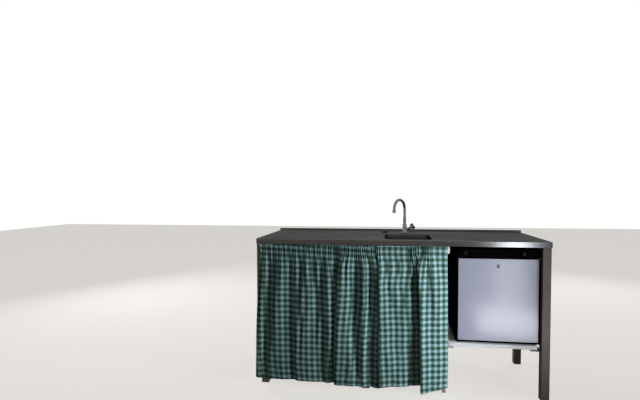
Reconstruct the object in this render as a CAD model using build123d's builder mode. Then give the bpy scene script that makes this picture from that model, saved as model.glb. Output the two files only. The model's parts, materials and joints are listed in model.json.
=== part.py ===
from build123d import *
from math import cos, radians, sin
import os

# Kitchenette of a shepherds hut: steel worktop with a sink and swan-neck tap,
# a gathered curtain on a wire, painted timber legs, and a shelf with a compact fridge.
# Millimetres, +Z up, front towards -Y, +X to the right as seen from the front.
# Origin on the floor, in the middle of the space that the unit fills.

# Worktop: a folded steel sheet over a board core
worktop_width = 1700.0
worktop_depth = 600.0
worktop_height = 900.0
worktop_edge = 32.0
sheet = 1.5
edge_round = 3.0
upstand_height = 15.0
upstand_depth = 12.0
curtain_proud = 24.0

# Sink bowl, its waste and its trap
bowl_width = 280.0
bowl_length = 320.0
bowl_drop = 150.0
bowl_corner = 45.0
bowl_floor_round = 25.0
bowl_to_divider = 197.0
bowl_setback = 45.0
bowl_taper = 2.0
waste_flange_radius = 35.0
waste_flange_height = 2.0
waste_tail_radius = 22.0
waste_tail_length = 60.0
waste_wall = 3.0
strainer_depth = 10.0
strainer_thickness = 2.0
strainer_hole_radius = 1.8
strainer_ring_pitch = 6.0
strainer_ring_holes = 6
waste_nut_radius = 32.0
nut_height = 10.0
trap_radius = 34.0
trap_height = 100.0
trap_collar_radius = 28.0
trap_collar_height = 22.0
trap_nut_radius = 24.0
trap_nut_length = 30.0
trap_outlet_radius = 20.0
trap_outlet_length = 40.0
trap_wall = 3.0
plug_radius = 21.0
plug_height = 16.0
plug_taper = 8.0
plug_round = 2.0
plug_from_bowl = 142.0
plug_setback = 465.0

# Tap
tap_from_bowl = 10.0
tap_setback = 450.0
tap_foot_radius = 24.0
tap_foot_height = 4.0
tap_body_radius = 18.0
tap_body_top_radius = 13.0
tap_body_height = 62.0
tap_neck_radius = 9.0
tap_neck_bore = 6.5
tap_sleeve_radius = 10.5
tap_sleeve_height = 50.0
tap_socket_depth = 30.0
tap_top_height = 237.0
tap_arc_radius = 66.0
tap_turn = 33.0
aerator_radius = 11.0
aerator_height = 20.0
tap_shank_radius = 10.5
tap_shank_length = 40.0
tap_tail_radius = 7.5
tap_tail_length = 40.0
tap_nut_radius = 22.0
handle_height = 14.0
handle_tilt = 32.0
handle_stub_radius = 9.0
handle_stub_reach = 50.0
handle_spindle_radius = 5.0
handle_length = 24.0
handle_cap = 8.0
handle_hub_radius = 12.0
handle_lobe_radius = 7.0
handle_lobe_circle = 13.0
handle_lobes = 4
handle_round = 2.0

# Timber frame
panel_thickness = 20.0
panel_bottom = 70.0
leg_size = 45.0
middle_leg_from_bowl = 251.0
post_inset = 4.0
rail_setback = 12.0
rail_thickness = 20.0
rail_height = 41.0
rail_drop = 2.0
rail_overhang = 13.0
back_rail_height = 60.0
cross_rail_height = 45.0
timber_ease = 1.5
fridge_bay_width = 519.0
wall_screw_radius = 3.0
wall_screw_spread = 1400.0

# Fridge shelf
shelf_thickness = 20.0
shelf_setback = 10.0
shelf_back_gap = 30.0
shelf_end_gap = 18.0
shelf_corner = 18.0
bearer_width = 45.0
bearer_height = 22.0
bearer_setback = 45.0

# Curtain and its wire
curtain_drop = 6.0
heading_height = 48.0
heading_thickness = 11.4
curtain_cloth = 5.0
curtain_depth = 30.0
wire_radius = 2.0
wire_drop = 16.0
wire_bracket = 8.0
panel_shares = [0.426, 0.225, 0.188, 0.161]
panel_gap = 2.0
left_hem = 40.0
mid_left_hem = 25.0
mid_right_hem = 27.0
right_hem = 20.0

# Compact fridge
fridge_width = 460.0
fridge_height = 544.0
fridge_headroom = 16.0
fridge_gap = 2.0
fridge_setback = 30.0
fridge_depth = 480.0
foot_height = 8.0
foot_radius = 12.0
foot_inset = 40.0
door_bottom_gap = 3.0
door_thickness = 38.0
door_side_border = 10.0
door_end_border = 3.0
door_panel_thickness = 2.5
door_panel_recess = 2.0
door_joint = 4.0
fridge_round = 4.0
panel_corner = 5.0
gasket_corner = 8.0
liner_step = 12.0
gasket_width = 13.0
cavity_side = 37.0
cavity_bottom = 30.0
cavity_top = 80.0
cavity_depth = 388.0
liner_thickness = 2.0
liner_corner = 12.0
door_liner_gap = 6.0
hinge_inset = 12.0
hinge_pin_radius = 4.0
hinge_pin_length = 12.0
plinth_thickness = 5.0
plinth_setback = 1.5
plinth_grip = 24.0
plinth_round = 1.0
fascia_height = 50.0
fascia_gap = 3.0
fascia_bevel = 5.0
lock_radius = 7.5
lock_proud = 4.0
lock_drop = 45.0
lock_round = 1.0
key_slot = 1.6
key_slot_length = 7.0
key_slot_depth = 3.0
lamp_inset = 50.0
lamp_width = 11.0
lamp_height = 20.0
lamp_proud = 1.5
dial_inset = 92.0
dial_radius = 10.0
dial_length = 9.0
dial_shaft_radius = 3.0
dial_shaft_length = 10.0
dial_round = 1.5
pointer_width = 2.0
rack_height = 240.0
rack_wire = 2.5
rack_pitch = 30.0
rack_gap = 1.0
ledge = 6.0
coil_radius = 3.0
coil_runs = 8
coil_pitch = 44.0
coil_width = 380.0
coil_lift = 134.0
coil_standoff = 12.0
absorber_radius = 32.0
absorber_length = 300.0
absorber_lift = 56.0
absorber_round = 6.0
strap_width = 14.0
strap_spread = 300.0
strap_overhang = 10.0

# Clearances
running_gap = 0.3
soft_gap = 0.3
hole_gap = 1.0
dial_gap = 1.0

# Places worked out from the sizes above
half_width = worktop_width / 2
front = -(worktop_depth - curtain_proud) / 2
back = front + worktop_depth
middle = (front + back) / 2
underside = worktop_height - worktop_edge
frame_back = back - rail_thickness
rail_front = front + rail_setback
leg_front = rail_front + rail_thickness
left_inner = panel_thickness - half_width
post_left = half_width - post_inset - leg_size
divider_right = post_left - fridge_bay_width
divider_left = divider_right - panel_thickness
rail_end_x = divider_right + rail_overhang
bowl_centre_x = divider_left - bowl_to_divider
middle_leg_x = bowl_centre_x - middle_leg_from_bowl
tap_x = bowl_centre_x - tap_from_bowl
plug_x = bowl_centre_x - plug_from_bowl
curtain_top = underside - curtain_drop
wire_height = curtain_top - wire_drop
fridge_top = underside - fridge_headroom
shelf_top = fridge_top - fridge_height
bowl_y = front + bowl_setback + bowl_length / 2
bowl_floor = worktop_height - bowl_drop
tap_y = front + tap_setback
plug_y = front + plug_setback
fridge_right = post_left - fridge_gap
fridge_left = fridge_right - fridge_width
fridge_x = (fridge_left + fridge_right) / 2
fridge_bottom = shelf_top + foot_height
fascia_bottom = fridge_top - fascia_height
door_top = fascia_bottom - fascia_gap
door_bottom = fridge_bottom + door_bottom_gap
lamp_x = fridge_left + lamp_inset
dial_x = fridge_right - dial_inset
coil_bottom = fridge_bottom + coil_lift
absorber_height = fridge_bottom + absorber_lift
door_front = front + fridge_setback
door_back = door_front + door_thickness
cabinet_front = door_back + door_joint
cabinet_back = door_front + fridge_depth
cavity_left = fridge_left + cavity_side
cavity_right = fridge_right - cavity_side
cavity_floor = fridge_bottom + cavity_bottom
cavity_ceiling = fridge_top - cavity_top
cavity_back = cabinet_front + cavity_depth

os.makedirs("parts", exist_ok=True)


def block(x, y, z, ease=0.0):
    """A straight-sided piece between two values on each axis, its edges eased."""
    with BuildPart() as piece:
        with BuildSketch(Plane.XY.offset(z[0])):
            with Locations(((x[0] + x[1]) / 2, (y[0] + y[1]) / 2)):
                Rectangle(x[1] - x[0], y[1] - y[0])
        extrude(amount=z[1] - z[0])
        if ease > 0:
            fillet(piece.edges(), ease)
    return piece


# Worktop sheet: folded down at the front and both ends, with an upstand at the wall
with BuildPart() as worktop:
    with BuildSketch(Plane.XY.offset(underside)):
        with Locations((0, middle)):
            Rectangle(worktop_width, worktop_depth)
    extrude(amount=worktop_edge)
    front_corners = worktop.edges().filter_by(Axis.Z).group_by(Axis.Y)[0]
    fillet(front_corners, edge_round)
    nosing = worktop.faces().sort_by(Axis.Z)[-1].edges().group_by(Axis.Y)[:-1]
    fillet([edge for group in nosing for edge in group], edge_round)
    with BuildSketch(Plane.XY.offset(worktop_height)):
        with Locations((0, back - upstand_depth / 2)):
            Rectangle(worktop_width, upstand_depth)
    extrude(amount=upstand_height)
    with BuildSketch(Plane.XY.offset(worktop_height)):
        with Locations((0, back - (upstand_depth - sheet) / 2)):
            Rectangle(worktop_width, upstand_depth - sheet)
    extrude(amount=upstand_height - sheet, mode=Mode.SUBTRACT)
    with BuildSketch(Plane.XY.offset(underside)):
        with Locations((0, middle + sheet / 2)):
            Rectangle(worktop_width - 2 * sheet, worktop_depth - sheet)
    extrude(amount=worktop_edge - sheet, mode=Mode.SUBTRACT)
    with BuildSketch(Plane.XY.offset(worktop_height)):
        with Locations((bowl_centre_x, bowl_y)):
            RectangleRounded(bowl_width + 2 * sheet, bowl_length + 2 * sheet, bowl_corner + sheet)
        with Locations((tap_x, tap_y)):
            Circle(tap_shank_radius + hole_gap)
    extrude(amount=-worktop_edge, mode=Mode.SUBTRACT)
worktop.part.label = "worktop"
export_step(worktop.part, "parts/worktop.step")

# Board core inside the folded sheet
with BuildPart() as worktop_core:
    with BuildSketch(Plane.XY.offset(underside)):
        with Locations((0, middle + sheet / 2)):
            Rectangle(worktop_width - 2 * sheet, worktop_depth - sheet)
        with Locations((bowl_centre_x, bowl_y)):
            RectangleRounded(
                bowl_width + 2 * sheet + 2 * hole_gap,
                bowl_length + 2 * sheet + 2 * hole_gap,
                bowl_corner + sheet + hole_gap,
                mode=Mode.SUBTRACT,
            )
        with Locations((tap_x, tap_y)):
            Circle(tap_shank_radius + hole_gap, mode=Mode.SUBTRACT)
    extrude(amount=worktop_edge - sheet)
worktop_core.part.label = "worktop_core"
export_step(worktop_core.part, "parts/worktop_core.step")

# Sink bowl: a pressed shell, open at the top, with the waste hole in its floor
with BuildPart() as bowl_inside:
    with BuildSketch(Plane.XY.offset(worktop_height)):
        with Locations((bowl_centre_x, bowl_y)):
            RectangleRounded(bowl_width, bowl_length, bowl_corner)
    extrude(amount=-bowl_drop, taper=bowl_taper)
    fillet(bowl_inside.faces().sort_by(Axis.Z)[0].edges(), bowl_floor_round)

with BuildPart() as sink_bowl:
    with BuildSketch(Plane.XY.offset(worktop_height)):
        with Locations((bowl_centre_x, bowl_y)):
            RectangleRounded(bowl_width + 2 * sheet, bowl_length + 2 * sheet, bowl_corner + sheet)
    extrude(amount=-(bowl_drop + sheet), taper=bowl_taper)
    fillet(sink_bowl.faces().sort_by(Axis.Z)[0].edges(), bowl_floor_round + sheet)
    add(bowl_inside.part, mode=Mode.SUBTRACT)
    with BuildSketch(Plane.XY.offset(bowl_floor)):
        with Locations((bowl_centre_x, bowl_y)):
            Circle(waste_tail_radius + hole_gap)
    extrude(amount=-2 * sheet, mode=Mode.SUBTRACT)
sink_bowl.part.label = "sink_bowl"
export_step(sink_bowl.part, "parts/sink_bowl.step")

# Waste: flange on the bowl floor, tail below it and a strainer plate inside
with BuildPart() as sink_waste:
    with BuildSketch(Plane.XY.offset(bowl_floor)):
        with Locations((bowl_centre_x, bowl_y)):
            Circle(waste_flange_radius)
    extrude(amount=waste_flange_height)
    with BuildSketch(Plane.XY.offset(bowl_floor)):
        with Locations((bowl_centre_x, bowl_y)):
            Circle(waste_tail_radius)
    extrude(amount=-waste_tail_length)
    with BuildSketch(Plane.XY.offset(bowl_floor + waste_flange_height)):
        with Locations((bowl_centre_x, bowl_y)):
            Circle(waste_tail_radius - waste_wall)
    extrude(amount=-(strainer_depth + waste_flange_height), mode=Mode.SUBTRACT)
    with BuildSketch(Plane.XY.offset(bowl_floor - waste_tail_length)):
        with Locations((bowl_centre_x, bowl_y)):
            Circle(waste_tail_radius - waste_wall)
    extrude(amount=waste_tail_length - strainer_depth - strainer_thickness, mode=Mode.SUBTRACT)
    with BuildSketch(Plane.XY.offset(bowl_floor - strainer_depth)):
        with Locations((bowl_centre_x, bowl_y)):
            Circle(strainer_hole_radius)
            for ring in (1, 2):
                with PolarLocations(ring * strainer_ring_pitch, ring * strainer_ring_holes):
                    Circle(strainer_hole_radius)
    extrude(amount=-strainer_thickness, mode=Mode.SUBTRACT)
sink_waste.part.label = "sink_waste"
export_step(sink_waste.part, "parts/sink_waste.step")

# Back nuts that pinch the waste under the bowl and the tap under the worktop
with BuildPart() as fixing_nuts:
    with BuildSketch(Plane.XY.offset(bowl_floor - sheet)):
        with Locations((bowl_centre_x, bowl_y)):
            Circle(waste_nut_radius)
            Circle(waste_tail_radius + running_gap, mode=Mode.SUBTRACT)
    extrude(amount=-nut_height)
    with BuildSketch(Plane.XY.offset(underside)):
        with Locations((tap_x, tap_y)):
            RegularPolygon(tap_nut_radius, 6)
            Circle(tap_shank_radius + running_gap, mode=Mode.SUBTRACT)
    extrude(amount=-nut_height)
fixing_nuts.part.label = "fixing_nuts"
export_step(fixing_nuts.part, "parts/fixing_nuts.step")

# Bottle trap under the waste, with its outlet towards the wall
trap_top = bowl_floor - waste_tail_length
trap_outlet_z = trap_top - trap_nut_radius - trap_wall
with BuildPart() as bottle_trap:
    with BuildSketch(Plane.XY.offset(trap_top)):
        with Locations((bowl_centre_x, bowl_y)):
            Circle(trap_radius)
    extrude(amount=-trap_height)
    fillet(bottle_trap.edges(), trap_wall)
    with BuildSketch(Plane.XY.offset(trap_top - trap_wall)):
        with Locations((bowl_centre_x, bowl_y)):
            Circle(trap_collar_radius)
    extrude(amount=trap_collar_height + trap_wall)
    outlet_reaches = (
        (trap_nut_radius, trap_radius + trap_nut_length),
        (trap_outlet_radius, trap_radius + trap_nut_length + trap_outlet_length),
    )
    for radius, reach in outlet_reaches:
        with BuildSketch(Plane.XZ.offset(-bowl_y)):
            with Locations((bowl_centre_x, trap_outlet_z)):
                Circle(radius)
        extrude(amount=-reach)
    with BuildSketch(Plane.XY.offset(trap_top - trap_wall)):
        with Locations((bowl_centre_x, bowl_y)):
            Circle(trap_radius - trap_wall)
    extrude(amount=-(trap_height - 2 * trap_wall), mode=Mode.SUBTRACT)
    with BuildSketch(Plane.XY.offset(trap_top)):
        with Locations((bowl_centre_x, bowl_y)):
            Circle(waste_tail_radius + running_gap)
    extrude(amount=trap_collar_height, mode=Mode.SUBTRACT)
    with BuildSketch(Plane.XY.offset(trap_top)):
        with Locations((bowl_centre_x, bowl_y)):
            Circle(waste_tail_radius - waste_wall)
    extrude(amount=-2 * trap_wall, mode=Mode.SUBTRACT)
    with BuildSketch(Plane.XZ.offset(-bowl_y)):
        with Locations((bowl_centre_x, trap_outlet_z)):
            Circle(trap_outlet_radius - trap_wall)
    extrude(amount=-outlet_reaches[-1][1], mode=Mode.SUBTRACT)
bottle_trap.part.label = "bottle_trap"
export_step(bottle_trap.part, "parts/bottle_trap.step")

# Rubber plug, lying on the worktop behind the bowl
with BuildPart() as sink_plug:
    with BuildSketch(Plane.XY.offset(worktop_height)):
        with Locations((plug_x, plug_y)):
            Circle(plug_radius)
    extrude(amount=plug_height, taper=plug_taper)
    fillet(sink_plug.edges(), plug_round)
sink_plug.part.label = "sink_plug"
export_step(sink_plug.part, "parts/sink_plug.step")

# Tap body: turned foot and cone, with a stub for the handle, a threaded shank and an inlet tail
shank_end = underside - tap_shank_length
handle_plane = Plane(
    origin=(tap_x, tap_y, worktop_height + handle_height),
    x_dir=(0, 1, 0),
    z_dir=(cos(radians(handle_tilt)), 0, sin(radians(handle_tilt))),
)
with BuildPart() as tap_base:
    with BuildSketch(Plane.XZ.offset(-tap_y)):
        with BuildLine():
            Polyline(
                (tap_x, shank_end - tap_tail_length),
                (tap_x + tap_tail_radius, shank_end - tap_tail_length),
                (tap_x + tap_tail_radius, shank_end),
                (tap_x + tap_shank_radius, shank_end),
                (tap_x + tap_shank_radius, worktop_height),
                (tap_x + tap_foot_radius, worktop_height),
                (tap_x + tap_foot_radius, worktop_height + tap_foot_height),
                (tap_x + tap_body_radius, worktop_height + tap_foot_height),
                (tap_x + tap_body_top_radius, worktop_height + tap_body_height),
                (tap_x, worktop_height + tap_body_height),
                close=True,
            )
        make_face()
    revolve(axis=Axis((tap_x, tap_y, 0), (0, 0, 1)))
    with BuildSketch(handle_plane):
        Circle(handle_stub_radius)
    extrude(amount=handle_stub_reach)
    with BuildSketch(handle_plane.offset(handle_stub_reach)):
        Circle(handle_spindle_radius)
    extrude(amount=handle_length - handle_cap)
    with BuildSketch(Plane.XY.offset(worktop_height + tap_body_height)):
        with Locations((tap_x, tap_y)):
            Circle(tap_neck_radius + running_gap)
    extrude(amount=-tap_socket_depth, mode=Mode.SUBTRACT)
tap_base.part.label = "tap_base"
export_step(tap_base.part, "parts/tap_base.step")

# Swan-neck spout, standing in the tap body
reach_x = -sin(radians(tap_turn))
reach_y = -cos(radians(tap_turn))
arc_height = worktop_height + tap_top_height - tap_neck_radius - tap_arc_radius
spout_plane = Plane(origin=(tap_x, tap_y, 0), x_dir=(reach_x, reach_y, 0), z_dir=(reach_y, -reach_x, 0))
spout_foot = worktop_height + tap_body_height - tap_socket_depth + running_gap
with BuildPart() as tap_spout:
    with BuildLine(spout_plane) as spout_path:
        riser = Line((0, spout_foot), (0, arc_height))
        CenterArc((tap_arc_radius, arc_height), tap_arc_radius, 180, -180)
    with BuildSketch(Plane.XY.offset(spout_foot)):
        with Locations((tap_x, tap_y)):
            Circle(tap_neck_radius)
            Circle(tap_neck_bore, mode=Mode.SUBTRACT)
    sweep(path=spout_path.line)
    with BuildSketch(Plane.XY.offset(worktop_height + tap_body_height + running_gap)):
        with Locations((tap_x, tap_y)):
            Circle(tap_sleeve_radius)
            Circle(tap_neck_bore, mode=Mode.SUBTRACT)
    extrude(amount=tap_sleeve_height)
tap_spout.part.label = "tap_spout"
export_step(tap_spout.part, "parts/tap_spout.step")

# Aerator screwed on the end of the spout
outlet_x = tap_x + 2 * tap_arc_radius * reach_x
outlet_y = tap_y + 2 * tap_arc_radius * reach_y
with BuildPart() as tap_aerator:
    with BuildSketch(Plane.XY.offset(arc_height)):
        with Locations((outlet_x, outlet_y)):
            Circle(aerator_radius)
            Circle(tap_neck_bore, mode=Mode.SUBTRACT)
    extrude(amount=-aerator_height)
tap_aerator.part.label = "tap_aerator"
export_step(tap_aerator.part, "parts/tap_aerator.step")

# Lobed handle, turning on the spindle at the side of the tap
with BuildPart() as tap_handle:
    with BuildSketch(handle_plane.offset(handle_stub_reach + running_gap)):
        Circle(handle_hub_radius)
        with PolarLocations(handle_lobe_circle, handle_lobes):
            Circle(handle_lobe_radius)
    extrude(amount=handle_length)
    outer_face = tap_handle.faces().sort_by(Axis(handle_plane.origin, handle_plane.z_dir))[-1]
    fillet(outer_face.edges(), handle_round)
    with BuildSketch(handle_plane.offset(handle_stub_reach)):
        Circle(handle_spindle_radius + running_gap)
    extrude(amount=handle_length - handle_cap + running_gap, mode=Mode.SUBTRACT)
tap_handle.part.label = "tap_handle"
export_step(tap_handle.part, "parts/tap_handle.step")

# Painted boards: the left side and the divider beside the fridge
left_side_panel = block(
    (-half_width, left_inner), (rail_front, back), (panel_bottom, underside), timber_ease
)
left_side_panel.part.label = "left_side_panel"
export_step(left_side_panel.part, "parts/left_side_panel.step")

fridge_divider = block(
    (divider_left, divider_right), (leg_front, frame_back), (0, underside), timber_ease
)
fridge_divider.part.label = "fridge_divider"
export_step(fridge_divider.part, "parts/fridge_divider.step")

# Legs and posts, each from the floor to the worktop
leg_span = (leg_front, leg_front + leg_size)
back_leg_span = (frame_back - leg_size, frame_back)
left_leg_x = (left_inner, left_inner + leg_size)
middle_leg_span = (middle_leg_x - leg_size / 2, middle_leg_x + leg_size / 2)
post_span = (post_left, post_left + leg_size)
post_front = (front + edge_round, front + edge_round + leg_size)

left_front_leg = block(left_leg_x, leg_span, (0, underside), timber_ease)
left_front_leg.part.label = "left_front_leg"
export_step(left_front_leg.part, "parts/left_front_leg.step")

left_back_leg = block(left_leg_x, back_leg_span, (0, underside), timber_ease)
left_back_leg.part.label = "left_back_leg"
export_step(left_back_leg.part, "parts/left_back_leg.step")

middle_front_leg = block(middle_leg_span, leg_span, (0, underside), timber_ease)
middle_front_leg.part.label = "middle_front_leg"
export_step(middle_front_leg.part, "parts/middle_front_leg.step")

middle_back_leg = block(middle_leg_span, back_leg_span, (0, underside), timber_ease)
middle_back_leg.part.label = "middle_back_leg"
export_step(middle_back_leg.part, "parts/middle_back_leg.step")

right_front_post = block(post_span, post_front, (0, underside), timber_ease)
right_front_post.part.label = "right_front_post"
export_step(right_front_post.part, "parts/right_front_post.step")

right_back_post = block(post_span, back_leg_span, (0, underside), timber_ease)
right_back_post.part.label = "right_back_post"
export_step(right_back_post.part, "parts/right_back_post.step")

# Batten across the front that carries the curtain wire
rail_top = underside - rail_drop
curtain_rail = block(
    (left_inner, rail_end_x), (rail_front, leg_front), (rail_top - rail_height, rail_top), timber_ease
)
curtain_rail.part.label = "curtain_rail"
export_step(curtain_rail.part, "parts/curtain_rail.step")

# Rail along the wall, with two screw holes
with BuildPart() as wall_rail:
    with BuildSketch(Plane.XZ.offset(-back)):
        with Locations(((left_inner + post_left + leg_size) / 2, underside - back_rail_height / 2)):
            Rectangle(post_left + leg_size - left_inner, back_rail_height)
        with Locations((0, underside - back_rail_height / 2)):
            with GridLocations(wall_screw_spread, 0, 2, 1):
                Circle(wall_screw_radius, mode=Mode.SUBTRACT)
    extrude(amount=rail_thickness)
wall_rail.part.label = "wall_rail"
export_step(wall_rail.part, "parts/wall_rail.step")

# Rails from front to back, between each front leg and the leg behind it
cross_spans = [
    (left_leg_x, leg_span[1]),
    (middle_leg_span, leg_span[1]),
    (post_span, post_front[1]),
]
with BuildPart() as cross_rails:
    for span, start in cross_spans:
        with BuildSketch(Plane.XY.offset(underside)):
            with Locations(((span[0] + span[1]) / 2, (start + back_leg_span[0]) / 2)):
                Rectangle(leg_size, back_leg_span[0] - start)
        extrude(amount=-cross_rail_height)
cross_rails.part.label = "cross_rails"
export_step(cross_rails.part, "parts/cross_rails.step")

# Shelf under the fridge, with its front corners rounded, and the two bearers under it
shelf_right = post_left - shelf_end_gap
shelf_back = back - shelf_back_gap
with BuildPart() as fridge_shelf:
    with BuildSketch(Plane.XY.offset(shelf_top)):
        with Locations(((divider_right + shelf_right) / 2, (front + shelf_setback + shelf_back) / 2)):
            Rectangle(shelf_right - divider_right, shelf_back - front - shelf_setback)
    extrude(amount=-shelf_thickness)
    fillet(fridge_shelf.edges().filter_by(Axis.Z).group_by(Axis.Y)[0], shelf_corner)
    fillet(fridge_shelf.faces().sort_by(Axis.Z)[-1].edges(), timber_ease)
fridge_shelf.part.label = "fridge_shelf"
export_step(fridge_shelf.part, "parts/fridge_shelf.step")

bearer_front = front + bearer_setback
bearer_top = shelf_top - shelf_thickness
bearer_middle = (bearer_front + frame_back) / 2
with BuildPart() as shelf_bearers:
    with BuildSketch(Plane.XY.offset(bearer_top)):
        with Locations(
            (divider_right + bearer_width / 2, bearer_middle),
            (post_left - bearer_width / 2, bearer_middle),
        ):
            Rectangle(bearer_width, frame_back - bearer_front)
    extrude(amount=-bearer_height)
shelf_bearers.part.label = "shelf_bearers"
export_step(shelf_bearers.part, "parts/shelf_bearers.step")

# Stretched wire and the two brackets that hold its ends
wire_y = rail_front - soft_gap - heading_thickness / 2
wire_left = left_inner + wire_bracket
wire_right = rail_end_x - wire_bracket
with BuildPart() as curtain_wire:
    with BuildSketch(Plane.YZ.offset(wire_left)):
        with Locations((wire_y, wire_height)):
            Circle(wire_radius)
    extrude(amount=wire_right - wire_left)
curtain_wire.part.label = "curtain_wire"
export_step(curtain_wire.part, "parts/curtain_wire.step")

with BuildPart() as wire_brackets:
    for end in (left_inner + wire_bracket / 2, rail_end_x - wire_bracket / 2):
        with BuildSketch(Plane.XZ.offset(-rail_front)):
            with Locations((end, wire_height)):
                RectangleRounded(wire_bracket, 3 * wire_bracket, wire_bracket / 4)
        extrude(amount=heading_thickness)
wire_brackets.part.label = "wire_brackets"
export_step(wire_brackets.part, "parts/wire_brackets.step")


def curtain_panel(left, right, bottom, folds, heading_start):
    """A gathered panel: a flat heading round the wire over a skirt that hangs in folds."""
    crest = front - curtain_proud
    valley = crest + curtain_depth - curtain_cloth
    turns = [left + share * (right - left) for share in folds]
    line = [(left, valley)] + list(zip(turns, [crest, valley] * len(turns))) + [(right, valley)]
    shifted = [(x, y + curtain_cloth) for x, y in reversed(line)]
    with BuildPart() as panel:
        with BuildSketch(Plane.XY.offset(bottom)):
            with BuildLine():
                face_line = Spline(*line, tangents=[(1, 0)] * len(line))
                back_line = Spline(*shifted, tangents=[(-1, 0)] * len(line))
                Line(face_line @ 1, back_line @ 0)
                Line(back_line @ 1, face_line @ 0)
            make_face()
        extrude(amount=curtain_top - heading_height - bottom)
        with BuildSketch(Plane.XY.offset(curtain_top)):
            with Locations(((heading_start + right) / 2, wire_y)):
                Rectangle(right - heading_start, heading_thickness)
        extrude(amount=-heading_height)
        with BuildSketch(Plane.YZ.offset(heading_start)):
            with Locations((wire_y, wire_height)):
                Circle(wire_radius + soft_gap)
        extrude(amount=right - heading_start, mode=Mode.SUBTRACT)
    return panel


# Curtain: four gathered panels of checked cotton, side by side on the wire.
# Each list gives where the folds turn, as shares of the panel's width: front, back, front and so on.
curtain_end = wire_right - soft_gap
curtain_span = curtain_end + half_width
mid_left_edge = -half_width + panel_shares[0] * curtain_span
mid_right_edge = mid_left_edge + panel_shares[1] * curtain_span
right_edge = mid_right_edge + panel_shares[2] * curtain_span

left_folds = [0.09, 0.21, 0.35, 0.45, 0.52, 0.61, 0.69, 0.83, 0.95]
curtain_left = curtain_panel(
    -half_width, mid_left_edge - panel_gap, left_hem, left_folds, wire_left + soft_gap
)
curtain_left.part.label = "curtain_left"
export_step(curtain_left.part, "parts/curtain_left.step")

mid_left_folds = [0.26, 0.52, 0.73]
curtain_mid_left = curtain_panel(
    mid_left_edge, mid_right_edge - panel_gap, mid_left_hem, mid_left_folds, mid_left_edge
)
curtain_mid_left.part.label = "curtain_mid_left"
export_step(curtain_mid_left.part, "parts/curtain_mid_left.step")

mid_right_folds = [0.13, 0.29, 0.48, 0.66, 0.81]
curtain_mid_right = curtain_panel(
    mid_right_edge, right_edge - panel_gap, mid_right_hem, mid_right_folds, mid_right_edge
)
curtain_mid_right.part.label = "curtain_mid_right"
export_step(curtain_mid_right.part, "parts/curtain_mid_right.step")

right_folds = [0.28, 0.55, 0.8]
curtain_right = curtain_panel(right_edge, curtain_end, right_hem, right_folds, right_edge)
curtain_right.part.label = "curtain_right"
export_step(curtain_right.part, "parts/curtain_right.step")

# Fridge cabinet: thick insulated walls, open at the front
with BuildPart() as fridge_cabinet:
    with BuildSketch(Plane.XY.offset(fridge_bottom)):
        with Locations((fridge_x, (cabinet_front + cabinet_back) / 2)):
            Rectangle(fridge_width, cabinet_back - cabinet_front)
    extrude(amount=fridge_top - fridge_bottom)
    fillet(fridge_cabinet.edges().filter_by(Axis.Y), fridge_round)
    with BuildSketch(Plane.XZ.offset(-cabinet_front)):
        with Locations((fridge_x, (cavity_floor + cavity_ceiling) / 2)):
            Rectangle(cavity_right - cavity_left, cavity_ceiling - cavity_floor)
    extrude(amount=-cavity_depth, mode=Mode.SUBTRACT)
fridge_cabinet.part.label = "fridge_cabinet"
export_step(fridge_cabinet.part, "parts/fridge_cabinet.step")

# White liner in the cavity, with a ledge on each side for the wire rack
rack_z = cavity_floor + rack_height
with BuildPart() as fridge_liner:
    with BuildSketch(Plane.XZ.offset(-cabinet_front)):
        with Locations((fridge_x, (cavity_floor + cavity_ceiling) / 2)):
            Rectangle(cavity_right - cavity_left, cavity_ceiling - cavity_floor)
    extrude(amount=-cavity_depth)
    with BuildSketch(Plane.XZ.offset(-cabinet_front)):
        with Locations((fridge_x, (cavity_floor + cavity_ceiling) / 2)):
            RectangleRounded(
                cavity_right - cavity_left - 2 * liner_thickness,
                cavity_ceiling - cavity_floor - 2 * liner_thickness,
                liner_corner,
            )
    extrude(amount=-(cavity_depth - liner_thickness), mode=Mode.SUBTRACT)
    with BuildSketch(Plane.XZ.offset(-(cabinet_front + liner_step + ledge))):
        with Locations(
            (cavity_left + liner_thickness + ledge / 2, rack_z - rack_wire - ledge / 2),
            (cavity_right - liner_thickness - ledge / 2, rack_z - rack_wire - ledge / 2),
        ):
            Rectangle(ledge, ledge)
    extrude(amount=-(cavity_depth - liner_step - ledge - liner_thickness))
fridge_liner.part.label = "fridge_liner"
export_step(fridge_liner.part, "parts/fridge_liner.step")

# Wire rack resting on the ledges
rack_left = cavity_left + liner_thickness + rack_gap
rack_right = cavity_right - liner_thickness - rack_gap
rack_front = cabinet_front + liner_step + 2 * ledge
rack_back = cavity_back - liner_thickness - rack_gap
with BuildPart() as fridge_rack:
    with BuildSketch(Plane.XY.offset(rack_z - rack_wire)):
        with Locations((fridge_x, (rack_front + rack_back) / 2)):
            Rectangle(rack_right - rack_left, rack_back - rack_front)
            Rectangle(
                rack_right - rack_left - 4 * rack_wire,
                rack_back - rack_front - 4 * rack_wire,
                mode=Mode.SUBTRACT,
            )
            with GridLocations(rack_pitch, 0, int((rack_right - rack_left) / rack_pitch), 1):
                Rectangle(rack_wire, rack_back - rack_front - 2 * rack_wire)
    extrude(amount=2 * rack_wire)
fridge_rack.part.label = "fridge_rack"
export_step(fridge_rack.part, "parts/fridge_rack.step")

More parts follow.
